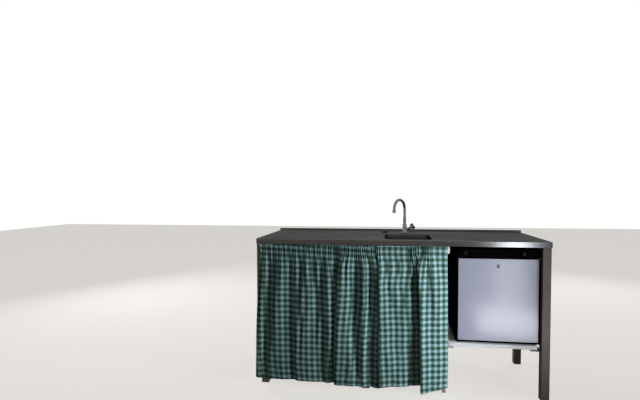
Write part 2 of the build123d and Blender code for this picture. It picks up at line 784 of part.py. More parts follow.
# Fascia over the door, with the bore for the dial's shaft
dial_z = (fascia_bottom + fridge_top) / 2
with BuildPart() as fridge_fascia:
    with BuildSketch(Plane.XZ.offset(-door_front)):
        with Locations((fridge_x, (fascia_bottom + fridge_top) / 2)):
            Rectangle(fridge_width, fridge_top - fascia_bottom)
    extrude(amount=-(cabinet_front - door_front))
    front_edges = fridge_fascia.faces().sort_by(Axis.Y)[0].edges().sort_by(Axis.Z)
    chamfer(front_edges[0], fascia_bevel)
    fillet(front_edges[-1], fridge_round)
    with BuildSketch(Plane.XZ.offset(-door_front)):
        with Locations((dial_x, dial_z)):
            Circle(dial_shaft_radius + running_gap)
    extrude(amount=-(dial_shaft_length + running_gap), mode=Mode.SUBTRACT)
fridge_fascia.part.label = "fridge_fascia"
export_step(fridge_fascia.part, "parts/fridge_fascia.step")

# Small window of the pilot lamp
with BuildPart() as fridge_lamp:
    with BuildSketch(Plane.XZ.offset(-door_front)):
        with Locations((lamp_x, dial_z)):
            RectangleRounded(lamp_width, lamp_height, lamp_width / 3)
    extrude(amount=lamp_proud)
fridge_lamp.part.label = "fridge_lamp"
export_step(fridge_lamp.part, "parts/fridge_lamp.step")

# Thermostat dial
with BuildPart() as fridge_dial:
    with BuildSketch(Plane.XZ.offset(-(door_front - dial_gap))):
        with Locations((dial_x, dial_z)):
            Circle(dial_radius)
    extrude(amount=dial_length)
    fillet(fridge_dial.faces().sort_by(Axis.Y)[0].edges(), dial_round)
    with BuildSketch(Plane.XZ.offset(-(door_front - dial_gap))):
        with Locations((dial_x, dial_z)):
            Circle(dial_shaft_radius)
    extrude(amount=-(dial_gap + dial_shaft_length))
    with BuildSketch(Plane.XZ.offset(-(door_front - dial_gap - dial_length))):
        with Locations((dial_x, dial_z + dial_radius / 2)):
            Rectangle(pointer_width, dial_radius)
    extrude(amount=-pointer_width, mode=Mode.SUBTRACT)
fridge_dial.part.label = "fridge_dial"
export_step(fridge_dial.part, "parts/fridge_dial.step")

# Plinth strip under the door, which carries the lower hinge pin
plinth_top = fridge_bottom
fridge_plinth = block(
    (fridge_left, fridge_right),
    (door_front + plinth_setback, cabinet_front + plinth_grip),
    (plinth_top - plinth_thickness, plinth_top),
    plinth_round,
)
fridge_plinth.part.label = "fridge_plinth"
export_step(fridge_plinth.part, "parts/fridge_plinth.step")

# Hinge pins: one up from the plinth, one down from the fascia
hinge_x = fridge_left + hinge_inset
hinge_y = door_front + hinge_inset
with BuildPart() as hinge_pins:
    with BuildSketch(Plane.XY.offset(plinth_top)):
        with Locations((hinge_x, hinge_y)):
            Circle(hinge_pin_radius)
    extrude(amount=door_bottom - plinth_top + hinge_pin_length)
    with BuildSketch(Plane.XY.offset(fascia_bottom)):
        with Locations((hinge_x, hinge_y)):
            Circle(hinge_pin_radius)
    extrude(amount=-(fascia_gap + hinge_pin_length))
hinge_pins.part.label = "hinge_pins"
export_step(hinge_pins.part, "parts/hinge_pins.step")

# Fridge feet on the shelf
foot_front = cabinet_front + plinth_grip
with BuildPart() as fridge_feet:
    with BuildSketch(Plane.XY.offset(shelf_top)):
        with Locations((fridge_x, (foot_front + cabinet_back) / 2)):
            with GridLocations(fridge_width - 2 * foot_inset, cabinet_back - foot_front - 2 * foot_inset, 2, 2):
                Circle(foot_radius)
    extrude(amount=foot_height)
fridge_feet.part.label = "fridge_feet"
export_step(fridge_feet.part, "parts/fridge_feet.step")

# Fridge door: a dark insulated slab with a recess for the white panel and bores for the pins
door_z = (door_bottom + door_top) / 2
with BuildPart() as fridge_door:
    with BuildSketch(Plane.XZ.offset(-door_front)):
        with Locations((fridge_x, door_z)):
            Rectangle(fridge_width, door_top - door_bottom)
    extrude(amount=-door_thickness)
    fillet(fridge_door.edges().filter_by(Axis.Z), fridge_round)
    with BuildSketch(Plane.XZ.offset(-door_front)):
        with Locations((fridge_x, door_z)):
            RectangleRounded(
                fridge_width - 2 * door_side_border,
                door_top - door_bottom - 2 * door_end_border,
                panel_corner,
            )
    extrude(amount=-door_panel_recess, mode=Mode.SUBTRACT)
    for level, way in ((door_bottom, 1), (door_top, -1)):
        with BuildSketch(Plane.XY.offset(level)):
            with Locations((hinge_x, hinge_y)):
                Circle(hinge_pin_radius + running_gap)
        extrude(amount=way * (hinge_pin_length + running_gap), mode=Mode.SUBTRACT)
fridge_door.part.label = "fridge_door"
export_step(fridge_door.part, "parts/fridge_door.step")

# White front panel, with the hole for the lock
lock_z = door_top - lock_drop
panel_back = door_front + door_panel_recess
with BuildPart() as fridge_door_panel:
    with BuildSketch(Plane.XZ.offset(-panel_back)):
        with Locations((fridge_x, door_z)):
            RectangleRounded(
                fridge_width - 2 * door_side_border,
                door_top - door_bottom - 2 * door_end_border,
                panel_corner,
            )
        with Locations((fridge_x, lock_z)):
            Circle(lock_radius, mode=Mode.SUBTRACT)
    extrude(amount=door_panel_thickness)
fridge_door_panel.part.label = "fridge_door_panel"
export_step(fridge_door_panel.part, "parts/fridge_door_panel.step")

# Round lock barrel with a key slot
with BuildPart() as door_lock:
    with BuildSketch(Plane.XZ.offset(-panel_back)):
        with Locations((fridge_x, lock_z)):
            Circle(lock_radius)
    extrude(amount=door_panel_thickness + lock_proud)
    fillet(door_lock.faces().sort_by(Axis.Y)[0].edges(), lock_round)
    with BuildSketch(Plane.XZ.offset(-(panel_back - door_panel_thickness - lock_proud))):
        with Locations((fridge_x, lock_z)):
            Rectangle(key_slot, key_slot_length)
    extrude(amount=-key_slot_depth, mode=Mode.SUBTRACT)
door_lock.part.label = "door_lock"
export_step(door_lock.part, "parts/door_lock.step")

# Inner side of the door and the soft seal round it
with BuildPart() as fridge_door_liner:
    with BuildSketch(Plane.XZ.offset(-door_back)):
        with Locations((fridge_x, (cavity_floor + cavity_ceiling) / 2)):
            RectangleRounded(
                cavity_right - cavity_left - 2 * (liner_thickness + door_liner_gap),
                cavity_ceiling - cavity_floor - 2 * (liner_thickness + door_liner_gap),
                gasket_corner,
            )
    extrude(amount=-liner_step)
    fillet(fridge_door_liner.faces().sort_by(Axis.Y)[-1].edges(), fridge_round)
fridge_door_liner.part.label = "fridge_door_liner"
export_step(fridge_door_liner.part, "parts/fridge_door_liner.step")

with BuildPart() as door_gasket:
    with BuildSketch(Plane.XZ.offset(-door_back)):
        with Locations((fridge_x, (cavity_floor + cavity_ceiling) / 2)):
            RectangleRounded(
                cavity_right - cavity_left + 2 * gasket_width,
                cavity_ceiling - cavity_floor + 2 * gasket_width,
                gasket_corner,
            )
            RectangleRounded(
                cavity_right - cavity_left,
                cavity_ceiling - cavity_floor,
                gasket_corner,
                mode=Mode.SUBTRACT,
            )
    extrude(amount=-(door_joint - soft_gap))
door_gasket.part.label = "door_gasket"
export_step(door_gasket.part, "parts/door_gasket.step")

# Cooling coil on the back of the cabinet, on two straps, and the absorber below it
coil_y = cabinet_back + coil_standoff
bend = coil_pitch / 2
with BuildPart() as cooling_coil:
    with BuildLine(Plane.XZ.offset(-coil_y)) as coil_path:
        for run in range(coil_runs):
            level = coil_bottom + coil_pitch * run
            near = fridge_x - coil_width / 2 if run % 2 == 0 else fridge_x + coil_width / 2
            far = 2 * fridge_x - near
            Line((near, level), (far, level))
            if run < coil_runs - 1:
                turn = 180 if far > near else -180
                CenterArc((far, level + bend), bend, -90, turn)
    with BuildSketch(Plane.YZ.offset(fridge_x - coil_width / 2)):
        with Locations((coil_y, coil_bottom)):
            Circle(coil_radius)
    sweep(path=coil_path.line)
    coil_top = coil_bottom + coil_pitch * (coil_runs - 1)
    with BuildSketch(Plane.XZ.offset(-cabinet_back)):
        with Locations((fridge_x, (coil_bottom + coil_top) / 2)):
            with GridLocations(strap_spread, 0, 2, 1):
                Rectangle(strap_width, coil_top - coil_bottom + 2 * strap_overhang)
    extrude(amount=-coil_standoff)
cooling_coil.part.label = "cooling_coil"
export_step(cooling_coil.part, "parts/cooling_coil.step")

with BuildPart() as absorber_vessel:
    with BuildSketch(Plane.YZ.offset(fridge_x - absorber_length / 2)):
        with Locations((cabinet_back + absorber_radius, absorber_height)):
            Circle(absorber_radius)
    extrude(amount=absorber_length)
    fillet(absorber_vessel.edges(), absorber_round)
absorber_vessel.part.label = "absorber_vessel"
export_step(absorber_vessel.part, "parts/absorber_vessel.step")
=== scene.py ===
import bpy
import bmesh
import json
import math
from mathutils import Matrix, Vector, noise


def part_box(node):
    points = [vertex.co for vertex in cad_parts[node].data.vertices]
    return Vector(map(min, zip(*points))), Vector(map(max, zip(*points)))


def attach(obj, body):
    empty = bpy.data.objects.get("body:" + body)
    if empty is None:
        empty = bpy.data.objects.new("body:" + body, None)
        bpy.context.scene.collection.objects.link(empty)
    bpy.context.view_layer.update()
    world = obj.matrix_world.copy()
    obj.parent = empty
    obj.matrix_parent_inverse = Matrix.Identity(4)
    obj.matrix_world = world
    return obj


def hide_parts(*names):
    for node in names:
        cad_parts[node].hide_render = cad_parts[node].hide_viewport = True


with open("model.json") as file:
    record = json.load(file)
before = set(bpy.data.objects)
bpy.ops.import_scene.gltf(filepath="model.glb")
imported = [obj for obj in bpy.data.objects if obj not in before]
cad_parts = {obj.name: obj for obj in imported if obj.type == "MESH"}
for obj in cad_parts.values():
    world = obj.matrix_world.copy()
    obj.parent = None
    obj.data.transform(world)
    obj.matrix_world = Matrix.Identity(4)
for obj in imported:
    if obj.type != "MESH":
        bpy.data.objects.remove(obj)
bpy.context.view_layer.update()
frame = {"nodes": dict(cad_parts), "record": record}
nodes = frame["nodes"]
print("frame loaded,", len(nodes), "nodes")


# Small helpers for colours, nodes and pieces

def hexColour(code):
    channels = [int(code[i:i + 2], 16) / 255 for i in (1, 3, 5)]
    linear = [c / 12.92 if c <= 0.04045 else ((c + 0.055) / 1.055) ** 2.4 for c in channels]
    return (*linear, 1.0)


def addNode(tree, kind, inputs=None, **settings):
    # one node, its settings by name, and what feeds its inputs: a socket, or a plain value
    node = tree.nodes.new(kind)
    for name, value in settings.items():
        setattr(node, name, value)
    for name, value in (inputs or {}).items():
        if isinstance(value, bpy.types.NodeSocket):
            tree.links.new(value, node.inputs[name])
        else:
            node.inputs[name].default_value = value
    return node


def newMaterial(name, colour, roughness, metallic=0.0, sockets=None):
    material = bpy.data.materials.new(name)
    material.use_nodes = True
    tree = material.node_tree
    shader = tree.nodes["Principled BSDF"]
    values = {"Base Color": hexColour(colour), "Roughness": roughness, "Metallic": metallic}
    for socket, value in {**values, **(sockets or {})}.items():
        shader.inputs[socket].default_value = value
    return material, tree, shader


def objectPlaces(tree, scale):
    # Object coordinates, stretched so that one unit of the pattern is the given size in metres
    places = addNode(tree, "ShaderNodeTexCoord")
    return addNode(tree, "ShaderNodeMapping", {"Vector": places.outputs["Object"],
                                               "Scale": [1 / s for s in scale]}).outputs["Vector"]


def mottle(tree, shader, colours, places):
    # base colour that drifts between two tones, as paint and metal do
    pattern = addNode(tree, "ShaderNodeTexNoise", {"Vector": places, "Scale": 1.0, "Detail": 3.0})
    ramp = addNode(tree, "ShaderNodeValToRGB", {"Fac": pattern.outputs["Fac"]})
    for stop, position, colour in zip(ramp.color_ramp.elements, (0.35, 0.65), colours):
        stop.position = position
        stop.color = hexColour(colour)
    tree.links.new(ramp.outputs["Color"], shader.inputs["Base Color"])


def surfaceFrom(tree, shader, pattern, roughness=None, depth=None):
    # one pattern gives the surface its roughness, between two values, and its relief, in metres
    spread = None
    if roughness:
        spread = addNode(tree, "ShaderNodeMapRange", {"Value": pattern, "From Min": 0.3, "From Max": 0.7,
                                                      "To Min": roughness[0], "To Max": roughness[1]})
        tree.links.new(spread.outputs["Result"], shader.inputs["Roughness"])
    if depth:
        bump = addNode(tree, "ShaderNodeBump", {"Height": pattern, "Distance": depth, "Strength": 1.0})
        tree.links.new(bump.outputs["Normal"], shader.inputs["Normal"])
    return spread


def pieceFrom(name, shape, body, material):
    # a finished bmesh becomes a smooth-shaded piece that rides on a body
    mesh = bpy.data.meshes.new(name)
    shape.to_mesh(mesh)
    shape.free()
    for face in mesh.polygons:
        face.use_smooth = True
    piece = bpy.data.objects.new(name, mesh)
    bpy.context.scene.collection.objects.link(piece)
    mesh.materials.append(material)
    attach(piece, body)
    return piece


# Camera where the photograph was taken, floor, lamps and world

camera = {
    "place": (-0.0505, -2.8318, 1.1793),
    "turnLeft": 7.933,      # degrees
    "tiltDown": 2.069,
    "roll": -0.105,
    "lens": 24.403,         # mm, on a 36 mm wide sensor
    "sensor": 36.0,
    "shift": (-0.01344, 0.01232),   # takes up what is left of the photograph's barrel distortion
    "clip": (0.05, 100),    # nearest and farthest that it sees
}


def makeCamera(c):
    turn, tilt, roll = (math.radians(c[k]) for k in ("turnLeft", "tiltDown", "roll"))
    ahead = Vector((-math.sin(turn), math.cos(turn), 0))
    right = Vector((math.cos(turn), math.sin(turn), 0))
    up = Vector((0, 0, 1))
    look = ahead * math.cos(tilt) - up * math.sin(tilt)
    top = up * math.cos(tilt) + ahead * math.sin(tilt)
    rightRolled = right * math.cos(roll) + top * math.sin(roll)
    topRolled = top * math.cos(roll) - right * math.sin(roll)
    data = bpy.data.cameras.new("camera")
    data.sensor_width = c["sensor"]
    data.lens = c["lens"]
    data.shift_x, data.shift_y = c["shift"]
    data.clip_start, data.clip_end = c["clip"]
    eye = bpy.data.objects.new("camera", data)
    axes = Matrix((rightRolled, topRolled, -look)).transposed()
    eye.matrix_world = Matrix.Translation(c["place"]) @ axes.to_4x4()
    bpy.context.scene.collection.objects.link(eye)
    bpy.context.scene.camera = eye


lighting = {
    "ambient": ("#dfe6ee", 0.035),      # colour and strength of the light from all round
    "behindObject": "#ffffff",
    "floor": "#ece9e4",
    "floorReach": 12,
    "floorBounce": "#716f6c",   # what the floor throws back on the object
    "paleFloor": 0.78,      # how much of the floor's own colour shows whatever the light
    "floorInGloss": 0.12,   # the same, where it is mirrored in metal and enamel
    "lamps": {              # lights says what a lamp acts on: surfaces, gloss, or both
        "sideLight": {"place": (1.25, -0.9, 0.92), "aim": (-0.6, -0.9, 0.7), "size": (0.4, 1.58),
                      "spread": 124, "colour": "#eef4ff", "power": 16.8, "lights": "surfaces"},
        "curtainLight": {"place": (1.0, -0.85, 0.75), "aim": (0.3, -0.3, 0.55), "size": (0.3, 1.2),
                         "spread": 32, "colour": "#eef4ff", "power": 0.85, "lights": "surfaces"},
        "doorShine": {"place": (1.15, -2.17, 0.27), "aim": (0.6, -0.26, 0.45), "size": (0.32, 0.48),
                      "colour": "#f4f7ff", "power": 4.5, "lights": "gloss"},
        "floorShine": {"place": (0.92, -1.35, 0.02), "aim": (0.62, -0.26, 0.36), "size": (0.5, 0.4),
                       "colour": "#f4f7ff", "power": 8.8, "lights": "gloss"},
        "edgeShine": {"place": (1.165, -2.17, 0.69), "aim": (0.67, -0.29, 0.885), "size": (0.26, 0.16),
                      "colour": "#e2ecff", "power": 4.4, "lights": "gloss"},
        "fillLight": {"place": (-1.9, -2.3, 1.7), "aim": (-0.1, -0.2, 0.8), "size": (0.35, 0.5),
                      "colour": "#fff4e4", "power": 1.5, "lights": "both"},
        "topLight": {"place": (0.0, -0.2, 3.0), "aim": (0.0, 0.0, 0.6), "size": (2.2, 1.6),
                     "colour": "#ffffff", "power": 12, "lights": "surfaces"},
        "leftBackLight": {"place": (-3.2, 1.9, 1.9), "aim": (-0.2, 0.2, 0.5), "size": (1.8, 1.8),
                          "colour": "#ffffff", "power": 90, "lights": "surfaces"},
        "rightBackLight": {"place": (2.4, 3.2, 2.0), "aim": (0.2, 0.2, 0.5), "size": (1.8, 1.8),
                           "colour": "#ffffff", "power": 70, "lights": "surfaces"},
    },
}


def makeLamp(name, lamp):
    data = bpy.data.lights.new(name, "AREA")
    data.shape = "RECTANGLE"
    data.size, data.size_y = lamp["size"]
    data.energy = lamp["power"]
    data.color = hexColour(lamp["colour"])[:3]
    data.spread = math.radians(lamp.get("spread", 180))
    light = bpy.data.objects.new(name, data)
    place = Vector(lamp["place"])
    light.location = place
    light.rotation_mode = "QUATERNION"
    light.rotation_quaternion = (Vector(lamp["aim"]) - place).to_track_quat("-Z", "Y")
    light.visible_camera = False
    light.visible_diffuse = lamp["lights"] != "gloss"
    light.visible_glossy = lamp["lights"] != "surfaces"
    bpy.context.scene.collection.objects.link(light)


def makeWorld(light):
    # white where it is seen, also in gloss and glass, and a faint light on the object
    world = bpy.data.worlds.new("studio")
    bpy.context.scene.world = world
    world.use_nodes = True
    tree = world.node_tree
    tree.nodes.clear()
    rays = addNode(tree, "ShaderNodeLightPath")
    seen = addNode(tree, "ShaderNodeMath", {0: rays.outputs["Is Camera Ray"],
                                            1: rays.outputs["Is Glossy Ray"]}, operation="MAXIMUM")
    seen = addNode(tree, "ShaderNodeMath", {0: seen.outputs[0],
                                            1: rays.outputs["Is Transmission Ray"]}, operation="MAXIMUM")
    soft = addNode(tree, "ShaderNodeBackground", {"Color": hexColour(light["ambient"][0]),
                                                  "Strength": light["ambient"][1]})
    plain = addNode(tree, "ShaderNodeBackground", {"Color": hexColour(light["behindObject"])})
    mixed = addNode(tree, "ShaderNodeMixShader", {"Fac": seen.outputs[0], 1: soft.outputs[0],
                                                  2: plain.outputs[0]})
    addNode(tree, "ShaderNodeOutputWorld", {"Surface": mixed.outputs[0]})


def makeFloor(light):
    shape = bmesh.new()
    bmesh.ops.create_grid(shape, x_segments=1, y_segments=1, size=light["floorReach"])
    mesh = bpy.data.meshes.new("floor")
    shape.to_mesh(mesh)
    shape.free()
    floor = bpy.data.objects.new("floor", mesh)
    bpy.context.scene.collection.objects.link(floor)
    material, tree, shader = newMaterial("matt studio floor", light["floor"], 0.85,
                                         sockets={"Specular IOR Level": 0.0})
    rays = addNode(tree, "ShaderNodeLightPath")
    tone = addNode(tree, "ShaderNodeMix", {"Factor": rays.outputs["Is Camera Ray"],
                                           "A": hexColour(light["floorBounce"]),
                                           "B": hexColour(light["floor"])}, data_type="RGBA")
    tree.links.new(tone.outputs["Result"], shader.inputs["Base Color"])
    glow = addNode(tree, "ShaderNodeEmission", {"Color": hexColour(light["floor"])})
    glossy = addNode(tree, "ShaderNodeMath", {0: rays.outputs["Is Glossy Ray"],
                                              1: light["floorInGloss"]}, operation="MULTIPLY")
    share = addNode(tree, "ShaderNodeMath", {0: rays.outputs["Is Camera Ray"], 1: light["paleFloor"],
                                             2: glossy.outputs[0]}, operation="MULTIPLY_ADD")
    mixed = addNode(tree, "ShaderNodeMixShader", {"Fac": share.outputs[0], 1: shader.outputs[0],
                                                  2: glow.outputs[0]})
    tree.links.new(mixed.outputs[0], tree.nodes["Material Output"].inputs["Surface"])
    mesh.materials.append(material)


makeCamera(camera)
makeWorld(lighting)
makeFloor(lighting)
for name, lamp in lighting["lamps"].items():
    makeLamp(name, lamp)
bpy.context.scene.view_settings.view_transform = "Standard"
print("camera, floor and lamps made")


# Metals

# Stainless steel, rolled and brushed lengthwise: satin, with fine streaks along the worktop,
# and duller where it lies flat, from years of wiping. Real brush marks are 0.1 mm wide, too fine
# to show, so they are drawn coarser.
steelLook = {
    # toned far darker than real stainless, as a painted reflection of a dark room
    "tones": ("#5c5b59", "#656462"),
    "edgeTint": "#8e8e90",          # the tone of what it mirrors at a low angle
    "roughness": (0.18, 0.24),
    "worn": 0.30,                   # added to the roughness where it lies flat
    "flat": (0.6, 0.95),            # how far up a face looks for that to begin and to be full
    "clouds": (0.35, 0.2, 0.2),
    "streak": (0.30, 0.0012, 0.0012),
    "streakDepth": 0.00004,
}


def brushedSteel(look):
    material, tree, shader = newMaterial(
        "brushed stainless steel", look["tones"][0], 0.3, 1.0,
        {"Anisotropic": 0.6, "Anisotropic Rotation": 0.25, "Specular Tint": hexColour(look["edgeTint"])})
    mottle(tree, shader, look["tones"], objectPlaces(tree, look["clouds"]))
    streaks = addNode(tree, "ShaderNodeTexNoise", {"Vector": objectPlaces(tree, look["streak"]),
                                                   "Scale": 1.0, "Detail": 2.0})
    spread = surfaceFrom(tree, shader, streaks.outputs["Fac"], look["roughness"], look["streakDepth"])
    facing = addNode(tree, "ShaderNodeTexCoord")
    facing = addNode(tree, "ShaderNodeSeparateXYZ", {"Vector": facing.outputs["Normal"]})
    dulled = addNode(tree, "ShaderNodeMapRange", {
        "Value": facing.outputs["Z"], "From Min": look["flat"][0], "From Max": look["flat"][1],
        "To Min": 0.0, "To Max": look["worn"]})
    both = addNode(tree, "ShaderNodeMath", {0: spread.outputs["Result"], 1: dulled.outputs["Result"]})
    tree.links.new(both.outputs[0], shader.inputs["Roughness"])
    return material


# Chromium plate over turned brass: a mirror, with faint water marks that dull it, toned far darker than
# real chrome as a painted reflection of a dark room.
def chromePlate():
    material, tree, shader = newMaterial("chromium plate", "#6f7074", 0.07, 1.0)
    spots = addNode(tree, "ShaderNodeTexNoise", {"Vector": objectPlaces(tree, (0.02, 0.02, 0.03)),
                                                 "Scale": 1.0, "Detail": 4.0})
    surfaceFrom(tree, shader, spots.outputs["Fac"], roughness=(0.05, 0.13))
    return material


# Nickelled steel of the lock and the hinge pins: a soft grey shine, lightly worn, its dark blue-grey tone
# a painted reflection of a dark room.
def nickelPlate():
    material, tree, shader = newMaterial("nickel plate", "#56575e", 0.3, 1.0)
    wear = addNode(tree, "ShaderNodeTexNoise", {"Vector": objectPlaces(tree, (0.003, 0.003, 0.003)),
                                                "Scale": 1.0, "Detail": 3.0})
    surfaceFrom(tree, shader, wear.outputs["Fac"], roughness=(0.2, 0.34))
    return material


# Turned brass of the back nuts: yellow, with tool marks round the turning, drawn 0.8 mm apart
# because the real ones are too fine to show.
def turnedBrass():
    material, tree, shader = newMaterial("turned brass", "#b08d4a", 0.3, 1.0)
    marks = addNode(tree, "ShaderNodeTexNoise", {"Vector": objectPlaces(tree, (0.05, 0.05, 0.0008)),
                                                 "Scale": 1.0, "Detail": 1.0})
    surfaceFrom(tree, shader, marks.outputs["Fac"], roughness=(0.24, 0.4), depth=0.00005)
    return material


# Paint, board and plastic

# Satin paint brushed on softwood: soft ridges 2 mm apart along the grain and a slightly uneven tone.
def brushedPaint(name, tones, along, shine=0.45):
    material, tree, shader = newMaterial(name, tones[0], 0.42, sockets={"Specular IOR Level": shine})
    mottle(tree, shader, tones, objectPlaces(tree, (0.12, 0.12, 0.12)))
    reach = [0.16 if axis == along else 0.0022 for axis in "xyz"]
    strokes = addNode(tree, "ShaderNodeTexNoise", {"Vector": objectPlaces(tree, reach),
                                                   "Scale": 1.0, "Detail": 2.0})
    surfaceFrom(tree, shader, strokes.outputs["Fac"], roughness=(0.36, 0.52), depth=0.00025)
    return material


# Particle board: pressed chips about 4 mm across, raw at its cut edges.
def particleBoard():
    material, tree, shader = newMaterial("particle board", "#a98a62", 0.8)
    chips = addNode(tree, "ShaderNodeTexVoronoi", {"Vector": objectPlaces(tree, (0.006, 0.006, 0.0035)),
                                                   "Scale": 1.0})
    ramp = addNode(tree, "ShaderNodeValToRGB", {"Fac": chips.outputs["Distance"]})
    ramp.color_ramp.elements[0].color = hexColour("#c3a67c")
    ramp.color_ramp.elements[1].color = hexColour("#86683f")
    tree.links.new(ramp.outputs["Color"], shader.inputs["Base Color"])
    surfaceFrom(tree, shader, chips.outputs["Distance"], depth=0.0004)
    return material


# Moulded plastic: an even colour with the fine spark-eroded grain of its tool, drawn 1 mm wide
# because the real grain is too fine to show.
def mouldedPlastic(name, tones, roughness, grain=0.0011, depth=0.00004, shine=0.5):
    material, tree, shader = newMaterial(name, tones[0], roughness,
                                         sockets={"Specular IOR Level": shine})
    mottle(tree, shader, tones, objectPlaces(tree, (0.25, 0.25, 0.25)))
    texture = addNode(tree, "ShaderNodeTexNoise", {"Vector": objectPlaces(tree, (grain,) * 3),
                                                   "Scale": 1.0, "Detail": 1.0})
    surfaceFrom(tree, shader, texture.outputs["Fac"], (roughness - 0.05, roughness + 0.07), depth)
    return material


# Stoved enamel on sheet steel: smooth and glossy, with a faint orange peel about 4 mm across.
def stovedEnamel(name, tones, roughness, coat, shine=0.5):
    material, tree, shader = newMaterial(name, tones[0], roughness, sockets={
        "Coat Weight": coat, "Coat Roughness": 0.12, "Specular IOR Level": shine})
    mottle(tree, shader, tones, objectPlaces(tree, (0.5, 0.5, 0.5)))
    peel = addNode(tree, "ShaderNodeTexNoise", {"Vector": objectPlaces(tree, (0.004,) * 3),
                                                "Scale": 1.0})
    surfaceFrom(tree, shader, peel.outputs["Fac"], depth=0.00003)
    return material


# Woven cotton, dyed in the yarn: a soft matt cloth with a check of light and dark stripes both ways.
checkCloth = {
    "pitch": 0.0342,        # one dark and one light stripe
    "yarn": 0.0011,         # real yarns are 0.4 mm, too fine to show, so they are drawn coarser
    "yarnRelief": 0.00012,
    "light": "#b6d9d8",
    "dark": "#27523f",
    "lightShare": 0.47,
    "cover": 0.30,          # how much the plumper dyed yarns show where they pass beneath
    "fade": ("#c9d3d0", "#ffffff"),
    "fadeReach": (0.25, 0.25, 0.4),
}


def wovenCheck(c):
    material, tree, shader = newMaterial("yarn-dyed checked cotton", c["light"], 0.92, sockets={
        "Sheen Weight": 0.25, "Sheen Roughness": 0.5, "Specular IOR Level": 0.2})
    cut = addNode(tree, "ShaderNodeUVMap", uv_map="cut")
    flat = addNode(tree, "ShaderNodeSeparateXYZ", {"Vector": cut.outputs["UV"]})

    def steps(axis, repeat, edge):
        # along one way of the cloth, 0 in the first part of each repeat and 1 past its edge
        turns = addNode(tree, "ShaderNodeMath", {0: flat.outputs[axis], 1: 1 / repeat},
                        operation="MULTIPLY")
        part = addNode(tree, "ShaderNodeMath", {0: turns.outputs[0]}, operation="FRACT")
        return addNode(tree, "ShaderNodeMath", {0: part.outputs[0], 1: edge},
                       operation="GREATER_THAN").outputs[0]

    warp, weft = (steps(axis, c["pitch"], c["lightShare"]) for axis in "XY")
    crossX, crossY = (steps(axis, 2 * c["yarn"], 0.5) for axis in "XY")
    over = addNode(tree, "ShaderNodeMath", {0: crossX, 1: crossY}, operation="SUBTRACT")
    over = addNode(tree, "ShaderNodeMath", {0: over.outputs[0]}, operation="ABSOLUTE").outputs[0]
    yarn = addNode(tree, "ShaderNodeMix", {"Factor": over, "A": warp, "B": weft}, data_type="FLOAT")
    either = addNode(tree, "ShaderNodeMath", {0: warp, 1: weft}, operation="MAXIMUM")
    through = addNode(tree, "ShaderNodeMath", {0: either.outputs[0], 1: c["cover"]},
                      operation="MULTIPLY")
    shown = addNode(tree, "ShaderNodeMath", {0: yarn.outputs["Result"], 1: through.outputs[0]},
                    operation="MAXIMUM")
    colour = addNode(tree, "ShaderNodeMix", {"Factor": shown.outputs[0], "A": hexColour(c["light"]),
                                             "B": hexColour(c["dark"])}, data_type="RGBA")
    fading = addNode(tree, "ShaderNodeTexNoise", {"Vector": objectPlaces(tree, c["fadeReach"]),
                                                  "Scale": 1.0})
    faded = addNode(tree, "ShaderNodeMix", {"Factor": fading.outputs["Fac"],
                                            "A": hexColour(c["fade"][0]),
                                            "B": hexColour(c["fade"][1])}, data_type="RGBA")
    worn = addNode(tree, "ShaderNodeMix", {"Factor": 1.0, "A": colour.outputs["Result"],
                                           "B": faded.outputs["Result"]},
                   data_type="RGBA", blend_type="MULTIPLY")
    tree.links.new(worn.outputs["Result"], shader.inputs["Base Color"])
    surfaceFrom(tree, shader, over, depth=c["yarnRelief"])
    return material


creamTones = ("#9d9486", "#a69d8f")
# the posts: the frame's cream paint, darkened as painted shade
shadedPostTones = ("#5a4d43", "#63564b")
whiteTones = ("#d6d4cf", "#dfddd8")
finishes = {
    "stainless": brushedSteel(steelLook),
    "board_core": particleBoard(),
    "brass": turnedBrass(),
    "white_plastic": mouldedPlastic("moulded polypropylene, white", ("#dcdcd8", "#e2e2de"), 0.4),
    "black_rubber": mouldedPlastic("moulded rubber, black", ("#0d0d0d", "#131313"), 0.7,
                                   grain=0.0016, depth=0.00012),
    "chrome": chromePlate(),
    "cream_paint": brushedPaint("brushed satin paint, cream, upright", creamTones, "z"),
    "white_paint": brushedPaint("brushed satin paint, white", whiteTones, "x"),
    "checked_cotton": wovenCheck(checkCloth),
    "black_enamel": stovedEnamel("stoved enamel, black", ("#0b0c0d", "#0f1011"), 0.6, 0.0, 0.0),
    "white_liner": mouldedPlastic("vacuum-formed polystyrene, white", ("#d0d3d7", "#d6d9dd"), 0.34,
                                  shine=0.3),
    "white_wire": stovedEnamel("dipped coating, white", ("#dcdcda", "#e2e2e0"), 0.35, 0.3),
    "black_plastic": mouldedPlastic("moulded plastic, black", ("#060608", "#09090b"), 0.45, shine=0.0),
    "lamp_window": mouldedPlastic("clear moulded window, grey", ("#141413", "#1a1a19"), 0.2, shine=0.25),
    "bright_steel": nickelPlate(),
    "white_enamel": stovedEnamel("stoved enamel, white", ("#91929f", "#9899a7"), 0.28, 0.25),
    "grey_seal": mouldedPlastic("extruded soft seal, grey", ("#6f7173", "#77797b"), 0.6),
}
pieceFinishes = {
    # the posts' paint: a darker copy of the cream, as painted shade
    "post": brushedPaint("brushed satin paint, cream in painted shade, upright", shadedPostTones, "z", shine=0.3),
    "lengthwise": brushedPaint("brushed satin paint, cream, lengthwise", creamTones, "x"),
    "crosswise": brushedPaint("brushed satin paint, cream, front to back", creamTones, "y"),
    "radiator": stovedEnamel("baked black lacquer", ("#191a1c", "#202123"), 0.42, 0.0, 0.45),
    "knob": mouldedPlastic("moulded plastic, dark grey", ("#1b1a1d", "#201f22"), 0.4, shine=0.05),
}
